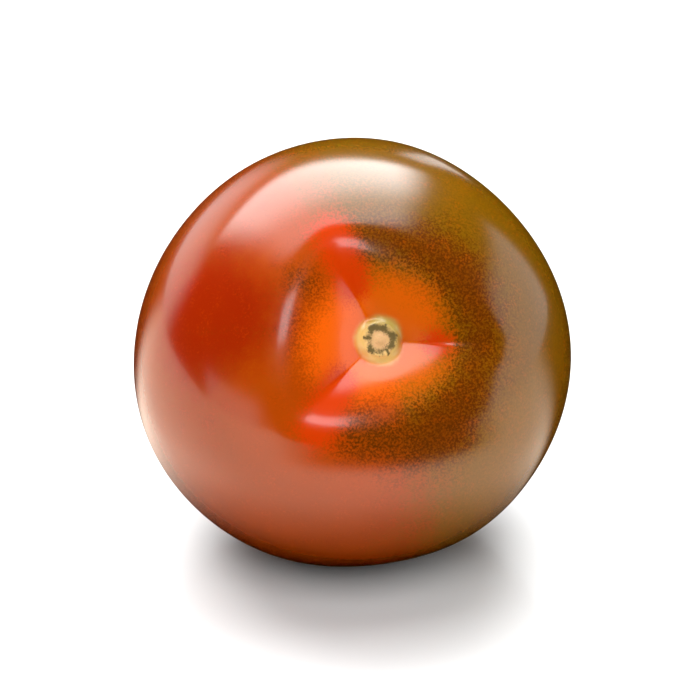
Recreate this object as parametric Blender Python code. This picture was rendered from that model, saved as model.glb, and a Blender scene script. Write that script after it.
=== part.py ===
"""A round two-coloured tomato, picked and lying on a small flat spot, with its stem end to the front.

The fruit is one piece: skin, flesh and the corky scar where the stalk came away. Lengths are metres and +Z
is up. The origin is under the middle of the fruit, on the surface that it rests on, and the stem end faces
-Y. The fruit is shaped about its own stem-to-blossom axis first, and then turned to the way it lies.
"""

import math

import bmesh
import bpy
from mathutils import Matrix, Vector

NAME = "tomato"

# Overall sizes
WIDTH = 0.0625  # across the equator, level as the fruit lies
BREADTH = 0.0615  # across the equator, at right angles to the width
STEM_HALF = 0.0265  # from the equator to the top of the shoulders
BLOSSOM_HALF = 0.0280  # from the equator to the blossom end
STEM_FULLNESS = 2.4  # power of the outline from equator to stem: 2 is an ellipse, and more is squarer
BLOSSOM_FULLNESS = 2.25  # the same from equator to blossom end

# The broad lobes of the flesh, which make the outline slightly three-cornered
LOBE_COUNT = 3
LOBE_HEIGHT = 0.00035
LOBE_ANGLE = math.radians(86)  # the middle of one lobe, round from the fruit's +X

# The hollow at the stem: three flat flanks that meet in sharp creases
CREASE_ANGLES = (math.radians(112), math.radians(217), math.radians(351))
CREASE_REACHES = (0.0190, 0.0175, 0.0105)  # how far each crease runs out from the stem axis
HOLLOW_DEPTH = 0.0043  # of the point where the flanks would meet, below the shoulders
FLANK_SLOPE = 0.33  # rise of a flank for each metre out from the axis
SHOULDER_ROUNDING = 0.0030  # height over which a flank turns over into the shoulder
GROOVE_DEPTH = 0.0006  # that the creases have beyond the depth of the hollow
GROOVE_WIDTH = 0.0030  # over which a groove's side rises
GROOVE_START = 0.0015  # where the grooves begin, from the axis
CREASE_EDGE = 0.0003  # rounding of a crease beside the scar
CREASE_SOFTENING = 0.22  # how fast a crease loses its sharp edge on its way out
HOLLOW_LEAN = 0.030  # how much the hollow opens to one side, as a slope
HOLLOW_LEAN_WAY = math.radians(165)  # that side

# The corky scar, a flat disc at the bottom of the hollow
SCAR_RADIUS = 0.0029
SCAR_RISE = 0.00075  # above the point where the flanks would meet
SCAR_BLEND = 0.0012  # width over which the disc runs out into the flanks

# The blossom end, a shallow dimple
DIMPLE_DEPTH = 0.0007
DIMPLE_RADIUS = 0.0070

# How it lies
STEM_RISE = math.radians(33)  # of the stem axis above the level
REST_SPOT_RADIUS = 0.0068  # of the small flat spot that it rests on

# Mesh
SEGMENTS = 80  # round the axis
RINGS = 46  # from pole to pole
STEM_CROWDING = 0.55  # draws the rings towards the stem end: 0 spaces them evenly
SHARP_EDGE = math.radians(35)

SKIN_COLOUR = (0.36, 0.055, 0.006, 1.0)
SKIN_ROUGHNESS = 0.25


def smooth_step(share):
    """0 up to 0, 1 from 1 on, and an S-curve between them."""
    share = min(max(share, 0.0), 1.0)
    return share * share * (3 - 2 * share)


def soft_max(a, b, rounding):
    """The larger of two heights, with the corner between them rounded over a difference of that much."""
    return max(a, b) + max(rounding - abs(a - b), 0.0) ** 2 / (4 * rounding)


def soft_min(a, b, rounding):
    """The smaller of two heights, rounded in the same way."""
    return -soft_max(-a, -b, rounding)


def equator_radius(angle):
    """An ellipse of the two overall sizes, with the broad lobes on it."""
    ellipse = 1 / math.hypot(2 * math.cos(angle) / WIDTH, 2 * math.sin(angle) / BREADTH)
    return ellipse + LOBE_HEIGHT * math.cos(LOBE_COUNT * (angle - LOBE_ANGLE))


def flank_facings():
    """The way uphill on each flank, chosen so that each pair of flanks meets along its crease."""
    first, second, third = CREASE_ANGLES
    half_turn = math.pi
    return (
        third + first - second - half_turn,
        first + second - third + half_turn,
        second + third - first - half_turn,
    )


def crease_rounding(radius):
    """How far a crease's bottom is rounded: hardly at all beside the scar, and more on its way out."""
    return CREASE_EDGE + CREASE_SOFTENING * max(radius - 2 * SCAR_RADIUS, 0.0)


def hollow_height(radius, angle):
    """An upside-down pyramid of the three flanks, leaning a little, measured up from its point."""
    rises = [FLANK_SLOPE * radius * math.cos(angle - facing) for facing in flank_facings()]
    rounding = FLANK_SLOPE * crease_rounding(radius)
    lean = HOLLOW_LEAN * radius * math.cos(angle - HOLLOW_LEAN_WAY)
    return soft_max(soft_max(rises[0], rises[1], rounding), rises[2], rounding) - lean


def groove_depth(radius, angle, crease, reach):
    """A V-shaped groove along one crease: it starts by the scar, softens and fades out at its reach."""
    turn = math.remainder(angle - crease, 2 * math.pi)
    beside = abs(turn) < math.pi / 2
    aside = radius * abs(math.sin(turn)) if beside else radius
    rounding = crease_rounding(radius)
    side = (math.hypot(aside, rounding) - rounding) / GROOVE_WIDTH
    starting = smooth_step(radius / GROOVE_START - 0.5)
    fading = 1 - smooth_step((radius / reach - 0.4) / 0.6)
    return GROOVE_DEPTH * starting * fading * math.exp(-side)


def stem_end_height(shoulder, radius, angle):
    """The shoulder, cut down by the hollow and its grooves, with the flat disc of the scar in it."""
    meeting = STEM_HALF - HOLLOW_DEPTH
    height = soft_min(shoulder, meeting + hollow_height(radius, angle), SHOULDER_ROUNDING)
    for crease, reach in zip(CREASE_ANGLES, CREASE_REACHES):
        height -= groove_depth(radius, angle, crease, reach)
    flatness = 1 - smooth_step((radius - SCAR_RADIUS) / SCAR_BLEND + 0.5)
    return height + flatness * (meeting + SCAR_RISE - height)


def skin_point(direction):
    """Where the skin lies in a direction from the middle of the fruit, its stem axis being +Z."""
    evenly = math.acos(min(max(direction.z, -1.0), 1.0))
    angle = math.atan2(direction.y, direction.x)
    polar = evenly - STEM_CROWDING * math.sin(evenly)
    along = math.cos(polar)
    roundness = 2 / (STEM_FULLNESS if along > 0 else BLOSSOM_FULLNESS)
    radius = equator_radius(angle) * math.sin(polar) ** roundness
    if along > 0:
        shoulder = STEM_HALF * along**roundness
        height = stem_end_height(shoulder, radius, angle)
    else:
        dimple = DIMPLE_DEPTH * (1 - smooth_step(radius / DIMPLE_RADIUS))
        height = dimple - BLOSSOM_HALF * (-along) ** roundness
    return Vector((radius * math.cos(angle), radius * math.sin(angle), height))


def shape_fruit(mesh):
    """Draws a unit sphere out to the skin."""
    bmesh.ops.create_uvsphere(mesh, u_segments=SEGMENTS, v_segments=RINGS, radius=1.0)
    for vertex in mesh.verts:
        vertex.co = skin_point(vertex.co.normalized())


def lay_down(mesh):
    """Turns the stem axis from +Z to the way it points as the fruit lies."""
    turn = Matrix.Rotation(math.pi / 2 - STEM_RISE, 3, "X")
    bmesh.ops.rotate(mesh, verts=mesh.verts, cent=(0, 0, 0), matrix=turn)


def flatten_rest_spot(mesh):
    """Cuts the underside level, as high as leaves a flat spot of the wanted radius."""
    mean_radius = (WIDTH + BREADTH) / 4
    cut_depth = mean_radius - math.sqrt(mean_radius**2 - REST_SPOT_RADIUS**2)
    lowest = min(vertex.co.z for vertex in mesh.verts)
    cut = bmesh.ops.bisect_plane(
        mesh,
        geom=mesh.verts[:] + mesh.edges[:] + mesh.faces[:],
        dist=1e-7,
        plane_co=(0, 0, lowest + cut_depth),
        plane_no=(0, 0, 1),
        clear_inner=True,
    )
    rim = [item for item in cut["geom_cut"] if isinstance(item, bmesh.types.BMEdge)]
    bmesh.ops.edgeloop_fill(mesh, edges=rim)
    bmesh.ops.recalc_face_normals(mesh, faces=mesh.faces)


def stand_on_origin(mesh):
    """Moves the fruit so that the bottom centre of its box is the origin."""
    xs, ys, zs = zip(*(vertex.co for vertex in mesh.verts))
    middle = Vector(((min(xs) + max(xs)) / 2, (min(ys) + max(ys)) / 2, min(zs)))
    bmesh.ops.translate(mesh, verts=mesh.verts, vec=-middle)


def skin_material():
    material = bpy.data.materials.new("ripe_skin")
    material.use_nodes = True
    shader = material.node_tree.nodes["Principled BSDF"]
    shader.inputs["Base Color"].default_value = SKIN_COLOUR
    shader.inputs["Roughness"].default_value = SKIN_ROUGHNESS
    shader.inputs["Metallic"].default_value = 0.0
    return material


def make_tomato(collection):
    shape = bmesh.new()
    shape_fruit(shape)
    lay_down(shape)
    flatten_rest_spot(shape)
    stand_on_origin(shape)
    skin = bpy.data.meshes.new(NAME)
    shape.to_mesh(skin)
    shape.free()
    skin.shade_smooth()
    skin.set_sharp_from_angle(angle=SHARP_EDGE)
    skin.materials.append(skin_material())
    tomato = bpy.data.objects.new(NAME, skin)
    collection.objects.link(tomato)
    return tomato


def main():
    for thing in list(bpy.data.objects):
        bpy.data.objects.remove(thing)
    collection = bpy.data.collections.new("whole_tomato")
    bpy.context.scene.collection.children.link(collection)
    make_tomato(collection)


main()
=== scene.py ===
"""A ripe two-coloured tomato on a glossy white sheet: red on its left, olive brown on its right.

The skin is one closed surface, worked out from the same sizes as the solid model, with the three creases
of the stem hollow in its shape. The corky scar is a second piece, set in the bottom of the hollow. Colours
follow fields that are worked out on the skin, and fine procedural patterns break up their borders. Lengths
are metres, +Z is up and the stem end faces -Y.
"""

import math

import bpy
import numpy as np
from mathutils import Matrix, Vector


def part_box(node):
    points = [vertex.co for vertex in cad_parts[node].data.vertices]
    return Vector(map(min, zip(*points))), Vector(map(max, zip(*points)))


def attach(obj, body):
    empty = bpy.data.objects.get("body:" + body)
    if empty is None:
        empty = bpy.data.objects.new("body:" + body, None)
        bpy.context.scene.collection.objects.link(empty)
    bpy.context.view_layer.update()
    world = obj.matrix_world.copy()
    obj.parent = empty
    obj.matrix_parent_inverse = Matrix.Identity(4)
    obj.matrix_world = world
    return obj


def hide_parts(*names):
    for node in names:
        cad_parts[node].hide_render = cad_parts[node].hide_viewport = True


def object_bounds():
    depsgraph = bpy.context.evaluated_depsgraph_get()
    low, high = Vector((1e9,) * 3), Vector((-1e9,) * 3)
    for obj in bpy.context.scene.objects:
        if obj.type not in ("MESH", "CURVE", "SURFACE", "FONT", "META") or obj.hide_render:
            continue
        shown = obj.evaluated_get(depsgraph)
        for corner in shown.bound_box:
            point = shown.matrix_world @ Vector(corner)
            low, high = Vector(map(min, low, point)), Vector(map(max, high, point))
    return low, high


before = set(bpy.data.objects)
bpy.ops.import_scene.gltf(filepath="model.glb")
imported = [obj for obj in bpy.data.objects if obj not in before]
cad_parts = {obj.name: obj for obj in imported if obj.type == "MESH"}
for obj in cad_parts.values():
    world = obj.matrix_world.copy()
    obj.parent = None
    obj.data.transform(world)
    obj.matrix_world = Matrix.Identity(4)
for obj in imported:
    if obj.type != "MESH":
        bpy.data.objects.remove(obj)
cad_low, cad_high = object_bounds()

TOMATO = "tomato"

# The fruit's shape, as in the solid model
WIDTH = 0.0625
BREADTH = 0.0615
STEM_HALF = 0.0265
BLOSSOM_HALF = 0.0280
STEM_FULLNESS = 2.4
BLOSSOM_FULLNESS = 2.25
LOBE_COUNT = 3
LOBE_HEIGHT = 0.00035
LOBE_ANGLE = math.radians(86)
CREASE_ANGLES = (math.radians(112), math.radians(217), math.radians(351))
CREASE_REACHES = (0.0190, 0.0175, 0.0105)
HOLLOW_DEPTH = 0.0043
FLANK_SLOPE = 0.33
SHOULDER_ROUNDING = 0.0030
GROOVE_DEPTH = 0.0006
GROOVE_WIDTH = 0.0030
GROOVE_START = 0.0015
CREASE_EDGE = 0.0003
CREASE_SOFTENING = 0.22
HOLLOW_LEAN = 0.030
HOLLOW_LEAN_WAY = math.radians(165)
SCAR_RADIUS = 0.0029
SCAR_RISE = 0.00075
SCAR_BLEND = 0.0012
DIMPLE_DEPTH = 0.0007
DIMPLE_RADIUS = 0.0070
STEM_RISE = math.radians(33)
REST_SPOT_RADIUS = 0.0068

# The skin's own fine shape and grid
SKIN_ROWS = 240
SKIN_COLUMNS = 360
STEM_CROWDING = 0.60  # draws the rows towards the stem end
REST_ROUNDING = 0.0005  # height over which the skin turns on to the surface it rests on
WAVE_HEIGHT = 0.00008  # of the slow unevenness of the skin

# The view
CAMERA_AZIMUTH = -12  # degrees, as are the other azimuths and elevations
CAMERA_ELEVATION = 28
CAMERA_DISTANCE = 0.70
SENSOR = 36.0
FRUIT_SHARE = 0.62  # of the picture's width that the fruit takes up


# ---------------------------------------------------------------- shape


def smooth_step(share):
    """0 up to 0, 1 from 1 on, and an S-curve between them."""
    share = np.clip(share, 0.0, 1.0)
    return share * share * (3 - 2 * share)


def soft_max(a, b, rounding):
    """The larger of two heights, with the corner between them rounded over that much difference."""
    return np.maximum(a, b) + np.maximum(rounding - np.abs(a - b), 0.0) ** 2 / (4 * rounding)


def soft_min(a, b, rounding):
    """The smaller of two heights, rounded in the same way."""
    return -soft_max(-a, -b, rounding)


def turn_between(angle, other):
    """The turn from one angle to the other, between minus and plus half a turn."""
    return (angle - other + math.pi) % (2 * math.pi) - math.pi


def equator_radius(angle):
    """An ellipse of the two overall sizes, with three broad lobes on it."""
    ellipse = 1 / np.hypot(2 * np.cos(angle) / WIDTH, 2 * np.sin(angle) / BREADTH)
    return ellipse + LOBE_HEIGHT * np.cos(LOBE_COUNT * (angle - LOBE_ANGLE))


def flank_facings():
    """The way uphill on each flank, chosen so that each pair of flanks meets along its crease."""
    first, second, third = CREASE_ANGLES
    half_turn = math.pi
    return (
        third + first - second - half_turn,
        first + second - third + half_turn,
        second + third - first - half_turn,
    )


def crease_rounding(radius):
    """How far a crease's bottom is rounded: hardly at all beside the scar, and more on its way out."""
    return CREASE_EDGE + CREASE_SOFTENING * np.maximum(radius - 2 * SCAR_RADIUS, 0.0)


def hollow_height(radius, angle):
    """An upside-down pyramid of the three flanks, leaning a little, measured up from its point."""
    rises = [FLANK_SLOPE * radius * np.cos(angle - facing) for facing in flank_facings()]
    rounding = FLANK_SLOPE * crease_rounding(radius)
    lean = HOLLOW_LEAN * radius * np.cos(angle - HOLLOW_LEAN_WAY)
    return soft_max(soft_max(rises[0], rises[1], rounding), rises[2], rounding) - lean


def distance_aside(radius, angle, crease):
    """How far a point lies to the side of the ray along a crease."""
    turn = turn_between(angle, crease)
    return np.where(np.abs(turn) < math.pi / 2, radius * np.abs(np.sin(turn)), radius)


def groove_depth(radius, angle, crease, reach):
    """A V-shaped groove along one crease: it starts by the scar, softens and fades out at its reach."""
    rounding = crease_rounding(radius)
    side = (np.hypot(distance_aside(radius, angle, crease), rounding) - rounding) / GROOVE_WIDTH
    starting = smooth_step(radius / GROOVE_START - 0.5)
    fading = 1 - smooth_step((radius / reach - 0.4) / 0.6)
    return GROOVE_DEPTH * starting * fading * np.exp(-side)


def stem_end_height(shoulder, radius, angle):
    """The shoulder, cut down by the hollow and its grooves, with a small flat under the scar."""
    meeting = STEM_HALF - HOLLOW_DEPTH
    height = soft_min(shoulder, meeting + hollow_height(radius, angle), SHOULDER_ROUNDING)
    for crease, reach in zip(CREASE_ANGLES, CREASE_REACHES):
        height = height - groove_depth(radius, angle, crease, reach)
    flatness = 1 - smooth_step((radius - SCAR_RADIUS) / SCAR_BLEND + 0.5)
    return height + flatness * (meeting + SCAR_RISE - height)


def fruit_radius_and_height(polar, angle):
    """The skin about the stem axis: a full ellipse from pole to pole, with hollow and dimple."""
    along = np.cos(polar)
    roundness = 2 / np.where(along > 0, STEM_FULLNESS, BLOSSOM_FULLNESS)
    radius = equator_radius(angle) * np.sin(polar) ** roundness
    shoulder = STEM_HALF * np.abs(along) ** roundness
    dimple = DIMPLE_DEPTH * (1 - smooth_step(radius / DIMPLE_RADIUS))
    blossom = dimple - BLOSSOM_HALF * np.abs(along) ** roundness
    return radius, np.where(along > 0, stem_end_height(shoulder, radius, angle), blossom)


def slow_waves(polar, angle):
    """A few long waves over the skin, so that its reflections aren't perfectly even."""
    east, north, up = np.sin(polar) * np.cos(angle), np.sin(polar) * np.sin(angle), np.cos(polar)
    waves = np.sin(7.1 * east + 3.3 * north + 1.0) + np.sin(6.3 * north - 4.7 * up + 2.1)
    return WAVE_HEIGHT * (waves + np.sin(8.9 * up + 5.1 * east - 0.7)) * np.sin(polar) ** 2


def from_fruit_axes(x, y, z):
    """Turns points about the stem axis to the way the fruit lies."""
    lean = math.pi / 2 - STEM_RISE
    cosine, sine = math.cos(lean), math.sin(lean)
    return np.stack([x, y * cosine - z * sine, y * sine + z * cosine], -1)


def fruit_shift(points):
    """What moves the skin to the solid model's place, its underside sunk by as much as is cut off."""
    mean_radius = (WIDTH + BREADTH) / 4
    cut_depth = mean_radius - math.sqrt(mean_radius**2 - REST_SPOT_RADIUS**2)
    low, high = points.reshape(-1, 3).min(0), points.reshape(-1, 3).max(0)
    box_low, box_high = (np.array(corner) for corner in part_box(TOMATO))
    shift = (box_low + box_high) / 2 - (low + high) / 2
    shift[2] = box_low[2] - low[2] - cut_depth
    return shift


def rest_on_surface(points):
    """Raises what would be under the surface to its level, with a soft edge round the flat spot."""
    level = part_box(TOMATO)[0].z
    points[..., 2] = soft_max(points[..., 2], level, REST_ROUNDING)
    return points


# ---------------------------------------------------------------- meshes


def closed_grid_faces(rows, columns):
    """Quads between rings of points, and triangles from the first and the last ring to a pole each.

    The poles are the first and the last vertex, and each ring closes on itself.
    """
    ring = 1 + np.arange(rows)[:, None] * columns + np.arange(columns)[None, :]
    after = np.roll(ring, -1, axis=1)
    quads = np.stack([ring[:-1], ring[1:], after[1:], after[:-1]], -1).reshape(-1, 4)
    first = np.stack([np.zeros(columns, int), ring[0], after[0]], -1)
    last_pole = np.full(columns, 1 + rows * columns)
    last = np.stack([last_pole, after[-1], ring[-1]], -1)
    return quads, np.concatenate([first, last])


def mesh_from_grid(name, first_pole, rings, last_pole):
    """A smooth closed mesh from rings of points (rows x columns x 3) and its two pole points."""
    rows, columns = rings.shape[:2]
    points = np.concatenate([first_pole[None], rings.reshape(-1, 3), last_pole[None]])
    quads, triangles = closed_grid_faces(rows, columns)
    mesh = bpy.data.meshes.new(name)
    mesh.from_pydata(points.tolist(), [], quads.tolist() + triangles.tolist())
    mesh.update()
    mesh.shade_smooth()
    piece = bpy.data.objects.new(name, mesh)
    bpy.context.scene.collection.objects.link(piece)
    return piece


def with_poles(first, field, last):
    """A field over the rings as one list for the mesh, with its value at the two poles."""
    return np.concatenate([[first], np.ravel(field), [last]]).astype(np.float32)


def paint_field(piece, name, values):
    """Stores one number for each point of the piece, for its material to read."""
    piece.data.attributes.new(name, "FLOAT", "POINT").data.foreach_set("value", values)


def paint_vectors(piece, name, values):
    """Stores one vector for each point of the piece."""
    layer = piece.data.attributes.new(name, "FLOAT_VECTOR", "POINT")
    layer.data.foreach_set("vector", values.astype(np.float32).ravel())


def skin_grid():
    """Polar angle and angle round the axis for each ring point, with the rings closer near the stem."""
    even = np.linspace(0, math.pi, SKIN_ROWS + 2)[1:-1]
    polar = even - STEM_CROWDING * np.sin(even)
    angle = np.arange(SKIN_COLUMNS) * 2 * math.pi / SKIN_COLUMNS
    return np.meshgrid(polar, angle, indexing="ij")


def skin_points(polar, angle):
    """The skin's points about the stem axis, with the slow waves added along the radius."""
    radius, height = fruit_radius_and_height(polar, angle)
    swelling = 1 + slow_waves(polar, angle) / (WIDTH / 2)
    return radius * swelling * np.cos(angle), radius * swelling * np.sin(angle), height * swelling


# ---------------------------------------------------------------- colour fields
# Each is a number over the skin, by the angle round the axis and the distance from the stem along it.


HOLLOW_EDGE = 0.0098  # distance at which the orange of the stem hollow gives way
HOLLOW_FADE = 0.0095  # over which it does
HOLLOW_STRETCHES = (  # sides where it reaches further or less far: way, spread, by
    (math.radians(190), math.radians(34), 0.0018),
    (math.radians(272), math.radians(30), -0.0018),
)
CREASE_BANDS = (  # red bands along the creases: way at the scar, turn on the way out, half width, reach
    (math.radians(112), math.radians(-3), 0.0021, 0.0195),
    (math.radians(217), math.radians(11), 0.0021, 0.0190),
    (math.radians(351), math.radians(0), 0.0016, 0.0110),
)
CREASE_FLARE = 0.09  # how fast a band widens with distance
CREASE_FROM = (0.0045, 0.0090)  # distances over which a band grows out of the orange
CREASE_END = 0.006  # length over which it fades out at its reach
BROWN_WAY = math.radians(350)  # the middle of the brown ring, which runs part of the way round the hollow
BROWN_HALF = math.radians(113)
BROWN_FADE = math.radians(16)
BROWN_DISTANCE = 0.0146
BROWN_SPREAD = 0.0042
BROWN_PATCHES = (  # browner or clearer parts: way, distance, spread round and out, strength
    (math.radians(300), 0.0165, math.radians(26), 0.0050, 0.75),
    (math.radians(38), 0.0155, math.radians(34), 0.0050, 0.45),
    (math.radians(137), 0.0141, math.radians(12), 0.0038, 0.48),
    (math.radians(168), 0.0135, math.radians(26), 0.0032, 0.24),
)
BROWN_STRENGTH = 0.72  # of the ring between those parts
GOLD_SIDE = (math.radians(312), math.radians(50))  # where the olive side is more golden: way, spread
RED_FROM = math.radians(108)  # the red side starts here, going round
RED_TO = math.radians(280)
RED_FADE = math.radians(26)
RIPE_END_FROM = 0.052  # distance at which the olive side starts to ripen towards the blossom end
RIPE_END_TO = 0.078
RIPE_END_SHARE = 0.85  # of the way to red
DEEP_RED = (math.radians(166), 0.0250, math.radians(24), 0.0105)  # way, distance, spread round and out
OUTER_FROM = 0.0190  # distance at which the red side starts to turn duller
OUTER_TO = 0.0300
HALO_RADIUS = 0.0036  # of the pale ring round the scar
HALO_FADE = 0.0025
HALO_GREEN_WAY = math.radians(50)  # the side on which that ring is greenest
BLOSSOM_SCAR = 0.0011  # radius of the dry spot at the blossom end
BLOSSOM_SCAR_FADE = 0.0008


def bell(away, spread):
    """1 at no distance, falling off to both sides like a bell over that spread."""
    return np.exp(-((away / spread) ** 2))


def patch(angle, distance, way, out, spread_round, spread_out):
    """1 at a place on the skin, falling off round it like a bell."""
    return bell(turn_between(angle, way), spread_round) * bell(distance - out, spread_out)


def within(away, half, fade):
    """1 up to that far away, and 0 further off, with a soft edge."""
    return 1 - smooth_step((np.abs(away) - half) / (2 * fade) + 0.5)


def hollow_field(angle, distance):
    """The orange of the stem hollow."""
    edge = HOLLOW_EDGE + 0 * angle
    for way, spread, further in HOLLOW_STRETCHES:
        edge = edge + further * bell(turn_between(angle, way), spread)
    return 1 - smooth_step((distance - edge) / HOLLOW_FADE + 0.5)


def crease_field(angle, distance):
    """The red bands along the creases: they widen, and the first two bend on their way out."""
    field = np.zeros_like(angle)
    for way, bend, half_width, reach in CREASE_BANDS:
        middle = way + bend * smooth_step(distance / reach)
        band = bell(distance_aside(distance, angle, middle), half_width + CREASE_FLARE * distance)
        field = np.maximum(field, band * (1 - smooth_step((distance - reach) / CREASE_END + 0.5)))
    start, full = CREASE_FROM
    return field * smooth_step((distance - start) / (full - start))


def brown_field(angle, distance):
    """A brown ring round the hollow on the olive side, and browner parts, which run together."""
    window = within(turn_between(angle, BROWN_WAY), BROWN_HALF, BROWN_FADE)
    clear = 1 - BROWN_STRENGTH * window * bell(distance - BROWN_DISTANCE, BROWN_SPREAD)
    for *place, strength in BROWN_PATCHES:
        clear = clear * (1 - strength * patch(angle, distance, *place))
    return 1 - clear


def redness_field(angle, distance):
    """1 on the red side and at the blossom end, and 0 on the olive side."""
    middle, half = (RED_FROM + RED_TO) / 2, (RED_TO - RED_FROM) / 2
    side = within(turn_between(angle, middle), half, RED_FADE)
    end = smooth_step((distance - RIPE_END_FROM) / (RIPE_END_TO - RIPE_END_FROM))
    return 1 - (1 - side) * (1 - RIPE_END_SHARE * end)


def halo_field(distance):
    """1 beside the scar and 0 past the pale ring round it."""
    return 1 - smooth_step((distance - HALO_RADIUS) / HALO_FADE + 0.5)


def green_field(angle):
    """1 on the side of the scar where the pale ring is greenest, and 0 on the other."""
    return 0.5 + 0.5 * np.cos(angle - HALO_GREEN_WAY)


def along_skin(x, y, z):
    """Distance along the skin from the stem pole, added up from ring to ring."""
    steps = np.sqrt(np.diff(x, axis=0) ** 2 + np.diff(y, axis=0) ** 2 + np.diff(z, axis=0) ** 2)
    first = np.hypot(x[:1], y[:1])
    return np.concatenate([first, first + np.cumsum(steps, axis=0)])


def paint_skin(piece, angle, distance):
    """Stores the colour fields, each with its value at the stem pole and at the blossom pole."""
    total = float(distance[-1].mean())
    gold_way, gold_spread = GOLD_SIDE
    outer = smooth_step((distance - OUTER_FROM) / (OUTER_TO - OUTER_FROM))
    blossom_scar = 1 - smooth_step((total - distance - BLOSSOM_SCAR) / BLOSSOM_SCAR_FADE + 0.5)
    fields = {
        "redness": (1, redness_field(angle, distance), 1),
        "hollow": (1, hollow_field(angle, distance), 0),
        "crease": (0, crease_field(angle, distance), 0),
        "brown": (0, brown_field(angle, distance), 0),
        "deep_red": (0, patch(angle, distance, *DEEP_RED), 0),
        "outer": (0, outer, 1),
        "halo": (1, halo_field(distance), 0),
        "golden": (0, bell(turn_between(angle, gold_way), gold_spread), 0),
        "halo_green": (0.5, green_field(angle), 0.5),
        "blossom_scar": (0, blossom_scar, 1),
    }
    for name, values in fields.items():
        paint_field(piece, name, with_poles(*values))
    along = np.stack([WIDTH / 2 * np.cos(angle), WIDTH / 2 * np.sin(angle), distance], -1)
    ends = np.array([[0, 0, 0], [0, 0, total]])
    paint_vectors(piece, "along", np.concatenate([ends[:1], along.reshape(-1, 3), ends[1:]]))


def make_skin():
    """The whole skin on a grid round its axis, laid down and painted, and how far it was moved."""
    polar, angle = skin_grid()
    x, y, z = skin_points(polar, angle)
    pole_heights = fruit_radius_and_height(np.array([0.0, math.pi]), np.array([0.0, 0.0]))[1]
    rings = from_fruit_axes(x, y, z)
    poles = from_fruit_axes(np.zeros(2), np.zeros(2), pole_heights)
    shift = fruit_shift(rings)
    skin_rings = rest_on_surface(rings + shift)
    piece = mesh_from_grid("tomato_skin", poles[0] + shift, skin_rings, poles[1] + shift)
    paint_skin(piece, angle, along_skin(x, y, z))
    return piece, shift


# ---------------------------------------------------------------- scar


SCAR_ROWS = 90
SCAR_COLUMNS = 180
SCAR_SIZE = 0.0027  # radius of the corky piece, inside the pale ring of the skin
SCAR_DEPTH = 0.0006  # how far its underside lies below the skin
SCAR_LIP = 0.00008  # how far its top stands above the skin, and its edge dips below it
SCAR_EDGE_FROM = 0.80  # share of its radius at which the top starts to dip
TOP_SHARE = 0.82  # of the rows, for the top
UNDER_SHARE = 0.95  # of the radius, for the underside
PLUG_RADIUS = 0.0007
PLUG_HEIGHT = 0.00022
CORK_RING_RADIUS = 0.00170
CORK_RING_WIDTH = 0.00058
COLLAR_RADIUS = 0.00215
COLLAR_WIDTH = 0.00045
COLLAR_HEIGHT = 0.00009
RAY_HEIGHT = 0.00003  # of the faint rays from the ring to the edge
RAY_COUNT = 17
SUNK_SHARE = 0.8  # of the relief, that the ring and the cracks lose
SPOKES = (  # dark cracks from the ring outwards: way, half width, inner and outer end
    (math.radians(8), 0.00026, 0.0013, 0.0027),
    (math.radians(62), 0.00020, 0.0016, 0.0025),
    (math.radians(168), 0.00026, 0.0014, 0.0025),
    (math.radians(296), 0.00028, 0.0013, 0.0027),
    (math.radians(232), 0.00018, 0.0015, 0.0023),
)
SPOKE_STRENGTH = 0.85


def scar_outline(angle):
    """The corky piece's radius all round: nearly round, with a few shallow bays."""
    bays = 0.05 * np.sin(3 * angle + 0.8) + 0.035 * np.sin(5 * angle + 2.0) + 0.02 * np.sin(9 * angle)
    return SCAR_SIZE * (1 + bays)


def cork_ring(radius, angle):
    """1 in the dark broken ring round the plug and in the cracks that run out of it."""
    wobble = 1 + 0.10 * np.sin(3 * angle + 1.9) + 0.06 * np.sin(7 * angle)
    breaks = 0.18 * np.sin(angle + 0.5) + 0.30 * np.sin(2 * angle + 0.6) * np.sin(5 * angle + 1.1)
    ring = bell(radius - CORK_RING_RADIUS * wobble, CORK_RING_WIDTH) * (0.78 + breaks)
    for way, half_width, inner, outer in SPOKES:
        begun = smooth_step((radius - inner) / half_width)
        ended = smooth_step((radius - outer) / half_width)
        crack = bell(distance_aside(radius, angle, way), half_width) * begun * (1 - ended)
        ring = np.maximum(ring, SPOKE_STRENGTH * crack)
    return ring


def scar_relief(radius, angle):
    """Height above the skin: a plug and a collar, with the ring and the cracks sunk between them."""
    plug = PLUG_HEIGHT * np.exp(-((radius / PLUG_RADIUS) ** 4))
    collar = COLLAR_HEIGHT * bell(radius - COLLAR_RADIUS, COLLAR_WIDTH)
    rays = RAY_HEIGHT * np.sin(RAY_COUNT * angle + 2 * np.sin(4 * angle))
    rays = rays * smooth_step(radius / CORK_RING_RADIUS - 0.4)
    return SCAR_LIP + (plug + collar + rays) * (1 - SUNK_SHARE * cork_ring(radius, angle))


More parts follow.
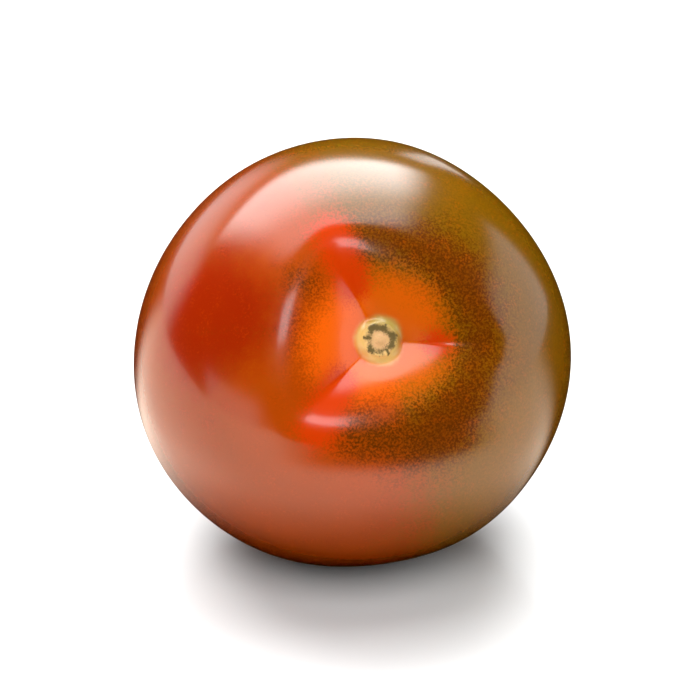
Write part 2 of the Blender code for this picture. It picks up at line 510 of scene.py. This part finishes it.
def make_scar(shift):
    """The corky scar: a thin disc on the skin, with its relief on top, whose edge dips into the skin."""
    share = (np.arange(SCAR_ROWS) + 1) / (SCAR_ROWS + 1)
    top = np.clip(share / TOP_SHARE, 0, 1)[:, None]
    under = np.clip((share - TOP_SHARE) / (1 - TOP_SHARE), 0, 1)[:, None]
    angle = (np.arange(SCAR_COLUMNS) * 2 * math.pi / SCAR_COLUMNS)[None, :]
    radius = scar_outline(angle) * (top - UNDER_SHARE * under)
    edge = 1 - smooth_step((top - SCAR_EDGE_FROM) / (1 - SCAR_EDGE_FROM))
    above = scar_relief(radius, angle) * edge - SCAR_LIP * (1 - edge)
    below = -SCAR_LIP - SCAR_DEPTH * smooth_step(4 * under)
    height = stem_end_height(STEM_HALF, radius, angle) + np.where(under > 0, below, above)
    rings = from_fruit_axes(radius * np.cos(angle), radius * np.sin(angle), height) + shift
    middle = stem_end_height(STEM_HALF, 0.0, 0.0)
    heights = np.array([middle + scar_relief(0.0, 0.0), middle - SCAR_DEPTH])
    ends = from_fruit_axes(np.zeros(2), np.zeros(2), heights) + shift
    piece = mesh_from_grid("stem_scar", ends[0], rings, ends[1])
    paint_field(piece, "outward", with_poles(0, radius / SCAR_SIZE, 0))
    paint_field(piece, "dark_ring", with_poles(0, cork_ring(radius, angle), 0))
    paint_field(piece, "halo_green", with_poles(0.5, green_field(angle) + 0 * radius, 0.5))
    return piece


# ---------------------------------------------------------------- materials


DEEP_SCARLET = (0.290, 0.0150, 0.0003, 1)
ORANGE_RED = (0.400, 0.0540, 0.0006, 1)
OUTER_RED = (0.310, 0.0460, 0.0006, 1)
OLIVE = (0.140, 0.0620, 0.0006, 1)
GOLDEN_OLIVE = (0.200, 0.0820, 0.0008, 1)
DARK_BROWN = (0.100, 0.0230, 0.0004, 1)
HOLLOW_ORANGE = (0.840, 0.1200, 0.0020, 1)  # on the red side
HOLLOW_AMBER = (0.640, 0.1080, 0.0020, 1)  # on the olive side
CREASE_RED = (0.580, 0.0400, 0.0006, 1)
ORANGE_SPECK = (0.440, 0.0850, 0.0015, 1)
GOLD_SPECK = (0.330, 0.1300, 0.0020, 1)
HALO_YELLOW = (0.790, 0.5000, 0.1600, 1)
HALO_GREEN = (0.480, 0.3500, 0.0900, 1)
CORK_BEIGE = (0.620, 0.3800, 0.1500, 1)
CORK_PINK = (0.720, 0.4000, 0.1900, 1)
CORK_DARK = (0.130, 0.0870, 0.0230, 1)
SPECK_SCALE = 3200  # specks to a metre


class Painter:
    """Adds nodes to a tree and wires them, one line for each step of the recipe."""

    def __init__(self, tree):
        self.tree = tree
        self.shader = tree.nodes.get("Principled BSDF")

    def add(self, kind, inputs=(), **settings):
        node = self.tree.nodes.new(kind)
        for name, value in settings.items():
            setattr(node, name, value)
        for socket, value in dict(inputs).items():
            self.feed(node.inputs[socket], value)
        return node

    def feed(self, socket, value):
        if isinstance(value, bpy.types.NodeSocket):
            self.tree.links.new(value, socket)
        else:
            socket.default_value = value

    def field(self, name):
        return self.add("ShaderNodeAttribute", attribute_name=name).outputs["Fac"]

    def vector_field(self, name):
        return self.add("ShaderNodeAttribute", attribute_name=name).outputs["Vector"]

    def split(self, vector):
        return self.add("ShaderNodeSeparateXYZ", {0: vector}).outputs

    def dot(self, vector, other):
        inputs = {0: vector, 1: tuple(other)}
        return self.add("ShaderNodeVectorMath", inputs, operation="DOT_PRODUCT").outputs["Value"]

    def place(self):
        return self.add("ShaderNodeTexCoord").outputs["Object"]

    def stretched(self, vector, scale):
        return self.add("ShaderNodeMapping", {"Vector": vector, "Scale": scale}).outputs[0]

    def noise(self, vector, scale, detail=3.0, roughness=0.5):
        inputs = {"Vector": vector, "Scale": scale, "Detail": detail, "Roughness": roughness}
        return self.add("ShaderNodeTexNoise", inputs).outputs["Fac"]

    def sums(self, operation, *values):
        return self.add("ShaderNodeMath", dict(enumerate(values)), operation=operation).outputs[0]

    def length(self, vector):
        return self.add("ShaderNodeVectorMath", {0: vector}, operation="LENGTH").outputs["Value"]

    def between(self, value, low, high, to_low=0.0, to_high=1.0):
        inputs = dict(enumerate((value, low, high, to_low, to_high)))
        node = self.add("ShaderNodeMapRange", inputs, interpolation_type="SMOOTHSTEP", clamp=True)
        return node.outputs["Result"]

    def mix(self, share, first, second):
        node = self.add("ShaderNodeMix", data_type="RGBA", clamp_factor=True)
        self.feed(node.inputs[0], share)
        self.feed(node.inputs[6], first)
        self.feed(node.inputs[7], second)
        return node.outputs[2]

    def bump(self, height, distance):
        return self.add("ShaderNodeBump", {"Height": height, "Distance": distance}).outputs["Normal"]

    def finish(self, **values):
        for name, value in values.items():
            self.feed(self.shader.inputs[name.replace("_", " ")], value)


def new_material(name):
    """A material, and the painter of its nodes."""
    material = bpy.data.materials.new(name)
    material.use_nodes = True
    return material, Painter(material.node_tree)


def halo_colour(p):
    """The pale ring's colour, from yellow to green, on the skin and on the cork's edge alike."""
    return p.mix(p.between(p.field("halo_green"), 0.2, 0.9), HALO_YELLOW, HALO_GREEN)


def skin_material():
    """Waxy ripe skin in red, olive and brown, whose borders break up into fine orange and gold specks."""
    material, p = new_material("waxy_skin")
    place = p.place()
    along = p.vector_field("along")
    broad = p.noise(place, 110.0, 3.0, 0.55)
    mottle = p.noise(place, 480.0, 3.0, 0.6)
    streak = p.noise(p.stretched(along, (300.0, 300.0, 40.0)), 1.0, 3.0, 0.55)
    speck = p.between(p.noise(place, SPECK_SCALE, 1.5, 0.6), 0.32, 0.68)

    def ragged(field, *uneven):
        """A field with its border broken up by patterns, each with its strength."""
        for pattern, strength in uneven:
            field = p.sums("ADD", field, p.sums("MULTIPLY", p.sums("SUBTRACT", pattern, 0.5), strength))
        return field

    redness = p.field("redness")
    red = p.between(ragged(redness, (streak, 0.5), (broad, 0.4), (speck, 0.22)), 0.05, 0.95)
    olive = p.mix(ragged(p.field("golden"), (broad, 0.8), (streak, 0.5)), OLIVE, GOLDEN_OLIVE)
    olive = p.mix(p.sums("MULTIPLY", speck, 0.22), olive, GOLD_SPECK)
    deep = ragged(p.field("deep_red"), (broad, 0.6), (mottle, 0.4), (speck, 0.12))
    deep = p.between(deep, 0.05, 0.80)
    ripe = p.mix(ragged(p.field("outer"), (broad, 0.8)), ORANGE_RED, OUTER_RED)
    base = p.mix(red, olive, p.mix(deep, ripe, DEEP_SCARLET))
    brown = p.between(ragged(p.field("brown"), (broad, 0.4), (mottle, 0.5), (speck, -0.33)), 0.05, 0.90)
    brown_base = p.mix(p.sums("MULTIPLY", speck, 0.25), DARK_BROWN, ORANGE_SPECK)
    base = p.mix(brown, base, brown_base)
    orange = p.mix(redness, HOLLOW_AMBER, HOLLOW_ORANGE)
    hollow = p.between(ragged(p.field("hollow"), (mottle, 0.5), (speck, 0.30)), 0.05, 0.95)
    base = p.mix(hollow, base, orange)
    crease = p.between(ragged(p.field("crease"), (mottle, 0.4), (speck, 0.35)), 0.05, 0.95)
    base = p.mix(crease, base, CREASE_RED)
    base = p.mix(p.between(ragged(p.field("halo"), (mottle, 0.5)), 0.1, 0.9), base, halo_colour(p))
    base = p.mix(p.between(ragged(p.field("blossom_scar"), (mottle, 0.6)), 0.3, 0.7), base, CORK_DARK)
    p.finish(
        Base_Color=base,
        Roughness=0.19,
        IOR=1.45,
        Coat_Weight=0.4,
        Coat_Roughness=0.07,
        Subsurface_Weight=0.12,
        Subsurface_Radius=(0.0016, 0.0005, 0.0002),
        Subsurface_Scale=1.0,
        Normal=p.bump(p.noise(place, 3500.0, 2.0), 0.00001),
    )
    return material


def scar_material():
    """Dry cork: a beige pink plug, a dark olive ring with cracks, and a pale collar like the halo."""
    material, p = new_material("corky_scar")
    place = p.place()
    grain = p.noise(place, 3500.0, 4.0, 0.6)
    cork = p.mix(p.between(grain, 0.3, 0.7), CORK_BEIGE, CORK_PINK)
    pale = p.mix(p.between(p.field("outward"), 0.45, 0.95), cork, halo_colour(p))
    dark = p.sums("ADD", p.field("dark_ring"), p.between(grain, 0.3, 0.7, -0.20, 0.20))
    base = p.mix(p.between(dark, 0.15, 0.80), pale, CORK_DARK)
    p.finish(Base_Color=base, Roughness=0.6, Normal=p.bump(grain, 0.00004))
    return material


# ---------------------------------------------------------------- stage


WHITE = (1, 1, 1, 1)
BLACK = (0, 0, 0, 1)
FLOOR_SIZE = 1.8
FLOOR_COLOUR = (0.85, 0.86, 0.86, 1)
FLOOR_REACH = (0.60, 0.45)  # half sizes of the sheet, to where it has faded out
FLOOR_FADE = 0.35  # the outer share of the sheet over which it fades
GLEAM = (0.80, 0.70, 0.58, 1)  # the sheet's colour as the fruit sees it, and not the camera
DARK_BEHIND = (154, 66, 9)  # painted shade on the sheet behind, which only the fruit sees, in degrees: middle, half width, edge
DARK_BEFORE = (10, 36, 13)  # the same in front, where it starts further out
DARK_BEFORE_FROM = (0.085, 0.140)  # distances over which that one sets in
DARK_UNDER = (0.018, 0.056)  # distances from the fruit over which the painted shade beside it fades and the sheet brightens again


def direction(azimuth, elevation):
    """A unit vector from the fruit: azimuth 0 is towards -Y and 90 towards +X."""
    round_z, up = math.radians(azimuth), math.radians(elevation)
    level = math.cos(up)
    return Vector((math.sin(round_z) * level, -math.cos(round_z) * level, math.sin(up)))


def wedge(p, azimuth, centre, half_width, edge):
    """1 within a wedge of the sheet, seen from above, with soft edges. Azimuth is a socket in radians."""
    turned = p.sums("WRAP", p.sums("SUBTRACT", azimuth, math.radians(centre)), math.pi, -math.pi)
    limits = math.radians(half_width + edge), math.radians(half_width - edge)
    return p.between(p.sums("ABSOLUTE", turned), *limits)


def gleam_share(p):
    """How much light the sheet gives the fruit: parts behind and in front, and close by, are painted dark
    as painted shade.
    """
    x, y = p.split(p.place())[:2]
    azimuth = p.sums("ARCTAN2", x, p.sums("MULTIPLY", y, -1.0))
    behind = wedge(p, azimuth, *DARK_BEHIND)
    far = p.length(p.place())
    before = p.sums("MULTIPLY", wedge(p, azimuth, *DARK_BEFORE), p.between(far, *DARK_BEFORE_FROM))
    lit = p.sums("SUBTRACT", 1.0, p.sums("MAXIMUM", behind, before))
    return p.sums("MULTIPLY", lit, p.between(far, *DARK_UNDER))


def make_floor():
    """A glossy white sheet whose edges fade into the white surroundings."""
    half = FLOOR_SIZE / 2
    corners = np.array([[-half, -half, 0], [half, -half, 0], [half, half, 0], [-half, half, 0]])
    mesh = bpy.data.meshes.new("white_sheet")
    mesh.from_pydata(corners.tolist(), [], [(0, 1, 2, 3)])
    floor = bpy.data.objects.new("white_sheet", mesh)
    bpy.context.scene.collection.objects.link(floor)
    material, p = new_material("white_acrylic")
    scaled = p.stretched(p.place(), (1 / FLOOR_REACH[0], 1 / FLOOR_REACH[1], 0))
    alpha = p.between(p.length(scaled), 1.0, 1.0 - FLOOR_FADE)
    p.finish(Base_Color=FLOOR_COLOUR, Roughness=0.12, IOR=1.4, Alpha=alpha)
    # the sheet as the fruit sees it: the gleam colour, painted black where the painted shade lies
    gleam = p.mix(gleam_share(p), BLACK, GLEAM)
    mirrored = p.add("ShaderNodeBsdfDiffuse", {"Color": gleam}).outputs[0]
    seen = p.add("ShaderNodeLightPath").outputs["Is Camera Ray"]
    both = p.add("ShaderNodeMixShader", {0: seen, 1: mirrored, 2: p.shader.outputs[0]})
    p.tree.links.new(both.outputs[0], p.tree.nodes["Material Output"].inputs["Surface"])
    mesh.materials.append(material)


def soft_panel(p, sight, azimuth, elevation, across, upward):
    """A soft-edged bright rectangle in the surroundings.

    It is laid out on the plane that faces the fruit from the given direction, one unit away. Across is
    its half width and upward its lower and upper limit, each as (where it is dark, where it is bright).
    Also gives the place on that plane, to the side and upwards.
    """
    towards = direction(azimuth, elevation)
    side = Vector((0, 0, 1)).cross(towards).normalized()
    facing = p.dot(sight, towards)
    beside = p.sums("DIVIDE", p.dot(sight, side), facing)
    above = p.sums("DIVIDE", p.dot(sight, towards.cross(side)), facing)
    low, high = upward
    shape = p.sums("MULTIPLY", p.between(p.sums("ABSOLUTE", beside), *across), p.between(above, *low))
    shape = p.sums("MULTIPLY", shape, p.between(above, *high))
    return p.sums("MULTIPLY", shape, p.between(facing, 0.05, 0.1)), beside, above


MAIN_PANEL = (185, 55, (0.79, 0.45), ((-0.46, -0.28), (1.20, 0.92)))
MAIN_RADIANCE = 9.5
MAIN_DIMMING = (0.05, 0.62, 1.0, 0.45)  # it dims upwards: from and to where, and its shares there
MAIN_TILT = (-0.5, 0.5, 1.0, 0.70)  # and the same from end to end
RIGHT_WALL = (82.5, 5, (0.73, 0.54), ((-0.5, -0.3), (0.60, 0.40)))
LEFT_STRIP = (-150, 2, (0.66, 0.22), ((-0.40, -0.24), (0.60, 0.20)))
RIGHT_STRIP = (155, 4, (0.075, 0.030), ((-0.30, -0.20), (0.26, 0.14)))
LEFT_CARD = (-60, 0, (0.42, 0.24), ((-0.3, -0.2), (0.26, 0.12)))
SMALL_LAMP = (-9, 43, (0.14, 0.07), ((-0.15, -0.08), (0.16, 0.08)))
OTHER_PANELS = (  # each with its radiance
    (RIGHT_WALL, 1.3),
    (LEFT_STRIP, 1.3),
    (RIGHT_STRIP, 1.6),
    (LEFT_CARD, 1.2),
    (SMALL_LAMP, 5.0),
)


def make_surroundings():
    """Soft panels of light in a dark studio, and plain white where the camera looks past the sheet."""
    world = bpy.data.worlds.new("studio")
    bpy.context.scene.world = world
    world.use_nodes = True
    tree = world.node_tree
    tree.nodes.clear()
    p = Painter(tree)
    sight = p.add("ShaderNodeTexCoord").outputs["Generated"]
    shape, beside, above = soft_panel(p, sight, *MAIN_PANEL)
    shares = p.sums("MULTIPLY", p.between(above, *MAIN_DIMMING), p.between(beside, *MAIN_TILT))
    light = p.sums("MULTIPLY", p.sums("MULTIPLY", shape, shares), MAIN_RADIANCE)
    for panel, radiance in OTHER_PANELS:
        light = p.sums("MULTIPLY_ADD", soft_panel(p, sight, *panel)[0], radiance, light)
    studio = p.add("ShaderNodeBackground", {"Color": WHITE, "Strength": light}).outputs[0]
    white = p.add("ShaderNodeBackground", {"Color": WHITE}).outputs[0]
    seen = p.add("ShaderNodeLightPath").outputs["Is Camera Ray"]
    both = p.add("ShaderNodeMixShader", {0: seen, 1: studio, 2: white}).outputs[0]
    p.add("ShaderNodeOutputWorld", {"Surface": both})


def make_fill(name, azimuth, elevation, distance, size, radiance):
    """A soft square light that brightens colours but isn't mirrored in the skin."""
    light = bpy.data.lights.new(name, "AREA")
    light.size = size
    light.energy = radiance * math.pi * size**2
    lamp = bpy.data.objects.new(name, light)
    away = direction(azimuth, elevation)
    lamp.location = Vector((0, 0, fruit_middle.z)) + away * distance
    lamp.rotation_euler = away.to_track_quat("Z", "Y").to_euler()
    lamp.visible_camera = False
    lamp.visible_glossy = False
    bpy.context.scene.collection.objects.link(lamp)


def make_camera():
    """A long lens from the front left and above, aimed at the middle of the fruit."""
    camera = bpy.data.cameras.new("camera")
    camera.sensor_width = SENSOR
    camera.lens = SENSOR * CAMERA_DISTANCE / (WIDTH / FRUIT_SHARE)
    viewer = bpy.data.objects.new("camera", camera)
    away = direction(CAMERA_AZIMUTH, CAMERA_ELEVATION)
    viewer.location = fruit_middle + away * CAMERA_DISTANCE
    viewer.rotation_euler = away.to_track_quat("Z", "Y").to_euler()
    bpy.context.scene.collection.objects.link(viewer)
    bpy.context.scene.camera = viewer


# ---------------------------------------------------------------- the scene


fruit_middle = (cad_low + cad_high) / 2

skin, fruit_place = make_skin()
skin.data.materials.append(skin_material())
scar = make_scar(fruit_place)
scar.data.materials.append(scar_material())
for piece in (skin, scar):
    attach(piece, "root")
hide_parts(TOMATO)

make_floor()
make_surroundings()
make_fill("front_fill", azimuth=-15, elevation=45, distance=1.3, size=0.9, radiance=4.6)
make_camera()
bpy.context.scene.view_settings.view_transform = "Standard"
